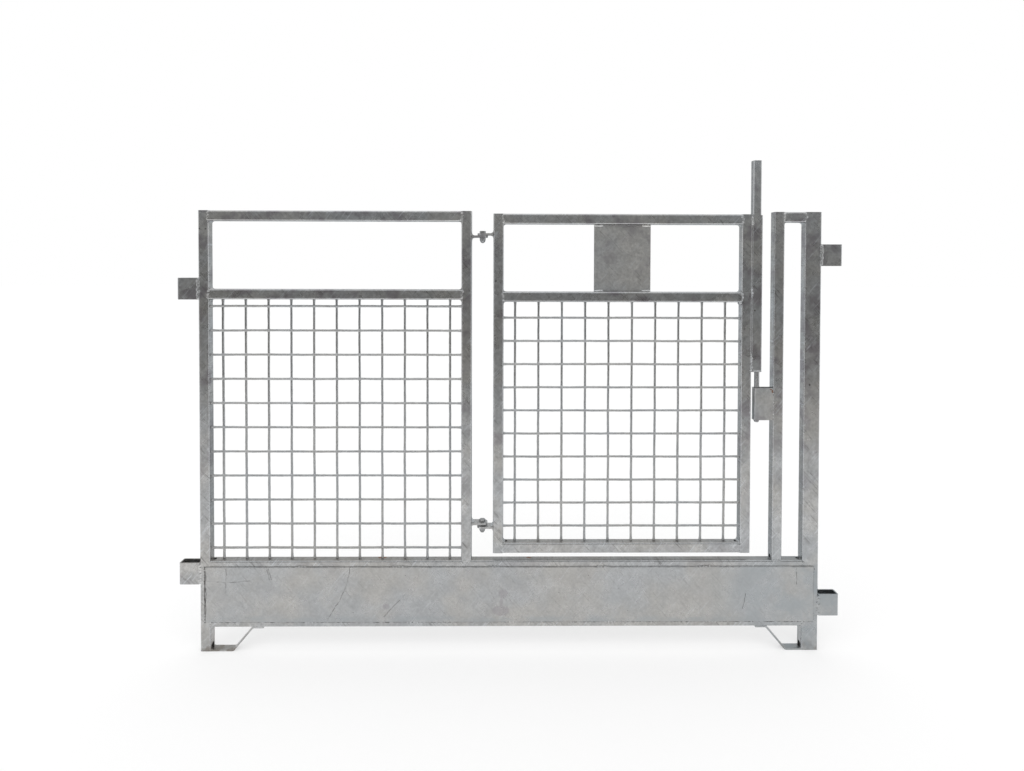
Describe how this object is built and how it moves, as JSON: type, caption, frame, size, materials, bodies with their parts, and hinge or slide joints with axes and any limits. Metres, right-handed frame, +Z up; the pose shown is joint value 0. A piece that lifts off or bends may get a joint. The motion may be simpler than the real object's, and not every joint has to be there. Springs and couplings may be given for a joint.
{
  "type": "lambing pen gate",
  "caption": "Galvanised pen panel of welded box tube and wire mesh with a hinged mesh gate, a drop-bolt latch, a kick plate, bent feet and coupling sleeves on its end posts.",
  "frame": {"origin": "on the floor, under the left post's centre line, on the underside of the left foot", "axes": "+X along the panel to the right, +Y to the back, +Z up; gate closed and bolt down at rest"},
  "size_m": [1.6, 0.028, 1.192],
  "materials": {
    "galvanised_tube": "hot-dip galvanised, satin",
    "galvanised_sheet": "hot-dip galvanised, satin",
    "galvanised_wire": "hot-dip galvanised, satin",
    "plated_fasteners": "zinc plated"
  },
  "bodies": {
    "frame": {"left_post": "galvanised_tube", "hinge_post": "galvanised_tube", "latch_post": "galvanised_tube", "right_post": "galvanised_tube", "sill_rail": "galvanised_tube", "bottom_rail": "galvanised_tube", "kick_plate": "galvanised_sheet", "panel_top_rail": "galvanised_tube", "panel_mid_rail": "galvanised_tube", "panel_mesh": "galvanised_wire", "latch_top_rail": "galvanised_tube", "left_foot": "galvanised_tube", "right_foot": "galvanised_tube", "left_upper_coupling": "galvanised_tube", "left_lower_coupling": "galvanised_tube", "right_upper_coupling": "galvanised_tube", "right_lower_coupling": "galvanised_tube", "bolt_keeper": "galvanised_sheet", "upper_frame_lug": "galvanised_tube", "lower_frame_lug": "galvanised_tube", "upper_hinge_bolt": "plated_fasteners", "lower_hinge_bolt": "plated_fasteners", "upper_hinge_nut": "plated_fasteners", "lower_hinge_nut": "plated_fasteners"},
    "gate": {"gate_hinge_stile": "galvanised_tube", "gate_latch_stile": "galvanised_tube", "gate_top_rail": "galvanised_tube", "gate_mid_rail": "galvanised_tube", "gate_bottom_rail": "galvanised_tube", "gate_mesh": "galvanised_wire", "sign_plate": "galvanised_sheet", "upper_gate_lug": "galvanised_tube", "lower_gate_lug": "galvanised_tube", "bolt_guide": "galvanised_tube", "guide_cap": "galvanised_tube"},
    "drop_bolt": {"bolt_handle": "galvanised_tube", "handle_cap": "galvanised_tube", "bolt_end_plate": "galvanised_tube", "bolt_rod": "galvanised_tube"}
  },
  "joints": [
    {"name": "gate_swing", "type": "hinge", "parent": "frame", "child": "gate", "pos_m": [0.669, 0, 0.66], "axis": [0, 0, 1], "range_deg": [-120, 120]},
    {"name": "bolt_lift", "type": "slide", "parent": "gate", "child": "drop_bolt", "axis": [0, 0, 1], "range_m": [0, 0.1]}
  ]
}
